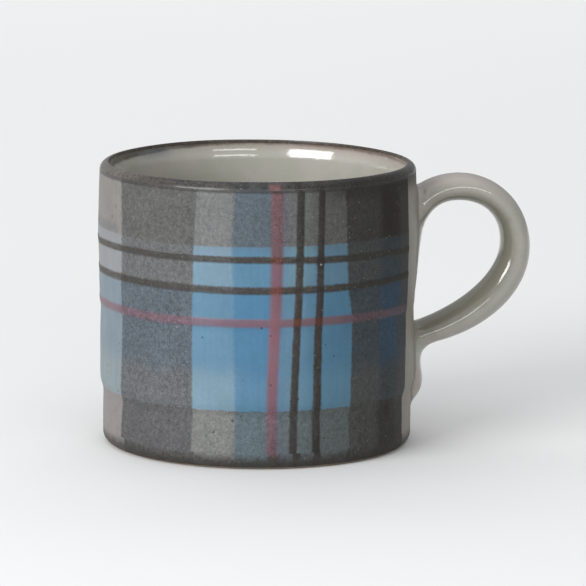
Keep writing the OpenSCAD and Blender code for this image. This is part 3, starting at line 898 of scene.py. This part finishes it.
    # painted shade: darker brown high on the wall under the lip, on the handle side away from the light
    shade = g.mul(g.ease(g.add(z, g.swing(patchy, 2.0)), 73.0, 77.6, 0.0, 0.75), g.ease(s, 84 * ARC, 56 * ARC))
    on_red = g.mul(up_red, g.ease(lip_z, PAINT_TOP + 3.0, PAINT_TOP + 1.0, 0.0, 0.75))
    for cover, tint in (
            (shade, IRON_PAINTED_SHADE), (g.mul(crest, 0.85), crest_colour), (g.mul(under_lip, 0.7), SEAM_IRON),
            (g.mul(inner_lip, 0.9), LIP_INSIDE), (g.mul(on_red, crest), LIP_RED)):
        colour = g.mix(cover, colour, tint)

    # marks left by the kiln and by use, on the front
    front = g.math("LESS_THAN", g.parts(p)[1], 0.0)

    for angle, height, radius, soft, cover, tint, stretch in BLOTS:
        ds = g.math("DIVIDE", g.sub(s_edge, angle * ARC), stretch)
        dz = g.sub(z_edge, height)
        d = g.math("SQRT", g.add(g.mul(ds, ds), g.mul(dz, dz)))
        colour = g.mix(g.mul(g.ease(d, radius + soft, radius - soft, 0.0, cover), front), colour, tint)
    above_blue = g.mul(g.ease(z_edge, BLUE_TOP, BLUE_TOP + 0.5), g.ease(z_edge, BLUE_TOP + 3.6, BLUE_TOP + 1.6))
    smudge = g.mul(g.ease(s_edge, (FAR_SIDE + 1) * ARC, (FAR_SIDE + 4) * ARC, 0.0, 0.6), above_blue)
    colour = g.mix(smudge, colour, SMUDGE)

    # grain, specks, streaks and painted glints
    grain = g.math("MAXIMUM", grain, g.mul(crest, 0.95))
    lumps = g.noise(p, 1.1, 3.0, 0.65)
    speckle = g.mul(g.add(g.swing(g.noise(p, 0.28, 2.0, 0.7), 2.2), g.swing(lumps, 1.65)), grain)
    streak = g.swing(g.noise(g.vector(s, g.mul(z, 0.07), 0.0), 1.3, 3.0), 0.22)
    gain = g.add(g.add(1.0, speckle), g.add(g.swing(cloud, 0.28), streak))
    gain = g.math("MAXIMUM", gain, 0.25)
    colour = g.mix(1.0, colour, g.vector(gain, gain, gain), "MULTIPLY")
    # painted glints: pale specks that stand for tiny highlights on the grain
    colour = g.mix(g.mul(g.specks(p, 0.9, 0.3, 0.2), g.mul(grain, 0.35)), colour, PAINTED_GLINT)
    colour = g.mix(g.mul(g.specks(p, 2.6, 0.14, 0.10), 0.7), colour, DARK_SPECK)

    rough = g.sub(g.add(0.46, g.mul(grain, 0.16)), g.mul(crest, 0.34))
    rough = g.add(rough, g.swing(lumps, 0.15))
    height = g.add(g.mul(speckle, 0.5), g.mul(g.add(dark_cover, red_cover), 0.35))
    g.node("NodeGroupOutput", (colour, rough, height))
    return tree


def wire(t, shader, colour, roughness, normal):
    for key, value in (("Base Color", colour), ("Roughness", roughness), ("Normal", normal)):
        t.plug(shader.inputs[key], value)


def new_material(name, roughness=0.5, coat=0.0, specular=0.5):
    material = bpy.data.materials.new(name)
    material.use_nodes = True
    shader = material.node_tree.nodes["Principled BSDF"]
    for key, value in (("Roughness", roughness), ("Specular IOR Level", specular), ("Coat Weight", coat),
                       ("Coat Roughness", 0.12)):
        shader.inputs[key].default_value = value
    return material, Tree(material.node_tree), shader


plaid = plaid_group()


def painted_material(name, specular=0.25, coat=0.0, grain_depth=0.00016):
    material, t, shader = new_material(name, specular=specular, coat=coat)
    colour, rough, height = t.node("ShaderNodeGroup", node_tree=plaid).outputs
    wire(t, shader, colour, rough, t.bump(height, grain_depth))
    return material


def glaze_material(name, base, warm, shade, roughness, tint):
    """Glossy off-white stoneware glaze: soft clouds of colour, faint pinholes and iron specks."""
    material, t, shader = new_material(name, roughness=roughness, coat=0.35)
    p = t.millimetres()
    clouds = t.noise(p, 9.0, 3.0)
    colour = t.mix(t.ease(clouds, 0.35, 0.65), base, warm)
    fine = t.noise(p, 0.8, 4.0, 0.6)
    colour = t.mix(t.ease(fine, 0.5, 0.8, 0.0, 0.35), colour, shade)
    colour = t.mix(t.mul(t.specks(p, 4.5, 0.12, 0.05), 0.7), colour, (60, 52, 44))
    rough = t.ease(fine, 0.3, 0.7, roughness - 0.04, roughness + 0.06)
    wire(t, shader, tint(t, colour), rough, t.bump(t.add(t.noise(p, 5.0, 2.0), t.mul(fine, 0.1)), 0.00012))
    return material


def handle_tint(t, colour):
    """The glaze pooled greenish on the inner face and is thin and pinkish on the outer face and the tail. The
    inner face is also darkened as painted shade, and the outer face lightened as painted light.
    """
    face, z = t.paint()
    face = t.add(face, t.swing(t.noise(t.millimetres(), 4.0, 3.0), 0.5))
    # inner face: pooled greenish glaze, and painted shade where it faces the wall
    colour = t.mix(t.ease(face, 0.2, -0.5, 0.0, 0.85), colour, (112, 110, 97))
    # outer face: thin pinkish glaze, and painted light
    colour = t.mix(t.ease(face, 0.35, 1.0, 0.0, 0.8), colour, (158, 150, 145))
    return t.mix(t.ease(z, 25.0, 16.0, 0.0, 0.35), colour, (150, 130, 126))


def liner_tint(t, colour):
    """Iron from the lip that has run a little way down the inside, and a grey-blue painted reflection high up
    at the left back.
    """
    p = t.millimetres()
    x, y, z = t.parts(p)
    depth = t.add(t.add(z, t.swing(t.noise(p, 6.0, 3.0), 1.0)), t.swing(t.noise(p, 1.2, 3.0, 0.6), 0.6))
    # it has run further down at the left and right than at the back
    aside = t.sub(x, 8.0)
    depth = t.add(depth, t.mul(t.mul(aside, aside), 0.0008))
    colour = t.mix(t.ease(depth, LINER_TOP - 0.9, LINER_TOP + 0.1, 0.0, 0.92), colour, (58, 52, 46))
    pink = t.mul(t.ease(depth, LINER_TOP - 3.4, LINER_TOP - 0.9, 0.0, 0.35), t.ease(x, -30.0, 10.0))
    colour = t.mix(pink, colour, (140, 120, 112))
    # painted reflection: a grey-blue patch high on the inside at the left back, standing for something dark
    # reflected in the glaze
    painted_reflection = t.mul(t.ease(z, LINER_TOP - 4.0, LINER_TOP - 1.0, 0.0, 0.55),
                    t.mul(t.ease(x, -18.0, -24.0), t.ease(y, 26.0, 34.0)))
    return t.mix(painted_reflection, colour, (92, 98, 102))


def clay_material(name):
    """Bare fired stoneware, for the foot ring and the parts that the glaze hides."""
    material, t, shader = new_material(name, roughness=0.85, specular=0.25)
    p = t.millimetres()
    sand = t.noise(p, 0.35, 4.0, 0.65)
    colour = t.mix(t.ease(sand, 0.3, 0.7), (122, 108, 92), (156, 142, 124))
    colour = t.mix(t.mul(t.specks(p, 1.6, 0.25, 0.12), 0.8), colour, (62, 50, 42))
    colour = t.mix(t.ease(t.noise(p, 12.0), 0.35, 0.7, 0.0, 0.4), colour, (112, 94, 78))
    wire(t, shader, colour, t.ease(sand, 0.2, 0.8, 0.78, 0.92), t.bump(sand, 0.00015))
    return material


NODE_SLOTS = {
    "cup_body": "stoneware_clay", "luting_slip": "luting_slip",
    "handle": "handle_clay", "liner_glaze": "liner_glaze", "handle_glaze": "handle_glaze",
    "handle_side_glaze": "handle_side_glaze", "far_side_glaze": "far_side_glaze", "rim_band": "rim_iron",
    "foot_band": "foot_iron", "dark_columns": "dark_grey_paint", "navy_stripes": "navy_paint",
    "grey_washes": "grey_wash", "light_blue_band": "light_blue_wash", "deep_blue_band": "mid_blue_wash",
    "deep_blue_columns": "deep_blue_wash", "dark_rings": "ring_brown_line", "red_ring": "ring_red_line",
    "dark_uprights": "upright_brown_line", "red_uprights": "upright_red_line",
}
for node, obj in pieces.items():
    slot = NODE_SLOTS[node]
    if node == "liner_glaze":
        material = glaze_material(slot, (150, 150, 140), (156, 153, 146), (138, 138, 128), 0.09, liner_tint)
    elif node == "handle_glaze":
        material = glaze_material(slot, (140, 141, 131), (148, 143, 136), (120, 120, 110), 0.1, handle_tint)
    elif node in ("handle", "cup_body", "luting_slip"):
        material = clay_material(slot)
    elif node == "rim_band":
        material = painted_material(slot, specular=0.3, coat=0.2, grain_depth=0.00005)
    else:
        material = painted_material(slot)
    obj.data.materials.append(material)
    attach(obj, "root")
    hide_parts(node)

# ---- floor, light and camera

FLOOR_HALF = 4000.0
corners = [(x * FLOOR_HALF, y * FLOOR_HALF, 0) for x, y in ((-1, -1), (1, -1), (1, 1), (-1, 1))]
floor = new_piece("floor", corners, [(0, 1, 2, 3)])
material, _, shader = new_material("pale_floor", roughness=0.9, specular=0.1)
shader.inputs["Base Color"].default_value = (0.70, 0.70, 0.70, 1)
floor.data.materials.append(material)

scene = bpy.context.scene
scene.view_settings.view_transform = "Standard"
scene.world = bpy.data.worlds.new("studio")
scene.world.use_nodes = True
w = Tree(scene.world.node_tree)
background = scene.world.node_tree.nodes["Background"].inputs
x, y, _ = w.parts(w.node("ShaderNodeTexCoord").outputs["Generated"])
# the room is brighter at the left, and darker behind the mug so that the lip doesn't shine all round
w.plug(background["Strength"], w.mul(w.slope(x, -1, 1, 0.92, 0.56), w.slope(y, 0.0, 0.7, 1.0, 0.5)))
background["Color"].default_value = (0.97, 0.985, 1.0, 1)

AIM = Vector((0, 0, 0.040))


def toward(turn, rise):
    """Unit vector from the mug: turn 0 is the front, positive to the right."""
    t, e = math.radians(turn), math.radians(rise)
    return Vector((math.sin(t) * math.cos(e), -math.cos(t) * math.cos(e), math.sin(e)))


def facing_to(start, target):
    return (target - start).to_track_quat("-Z", "Y")


def area_light(name, turn, rise, away, width, height, power, target=AIM):
    """A panel of watts power, away metres from the mug."""
    light = bpy.data.lights.new(name, "AREA")
    light.shape = "RECTANGLE"
    light.size, light.size_y, light.energy = width, height, power
    obj = bpy.data.objects.new(name, light)
    obj.location = AIM + toward(turn, rise) * away
    obj.rotation_euler = facing_to(obj.location, target).to_euler()
    scene.collection.objects.link(obj)
    return obj


area_light("window_left", -52, 20, 1.6, 1.0, 0.55, 24)
area_light("window_front", 11, 18, 2.0, 1.15, 0.24, 6)
area_light("sky", 0, 89, 2.0, 2.5, 2.5, 6)
backdrop = area_light("backdrop", 180, 42, 2.6, 3.5, 1.5, 30, Vector((0, 1.6, 0)))
backdrop.visible_glossy = False

CAMERA_TURN, CAMERA_RISE, CAMERA_AWAY, CAMERA_ROLL = -8.0, 10.12, 1.2, 0.281
camera = bpy.data.cameras.new("camera")
camera.lens, camera.sensor_width = 258.4, 36
camera.shift_x, camera.shift_y = 0.0610, 0.0127
cam = bpy.data.objects.new("camera", camera)
cam.location = AIM + toward(CAMERA_TURN, CAMERA_RISE) * CAMERA_AWAY
cam.rotation_mode = "QUATERNION"
cam.rotation_quaternion = facing_to(cam.location, AIM) @ Quaternion((0, 0, 1), math.radians(CAMERA_ROLL))
scene.collection.objects.link(cam)
scene.camera = cam
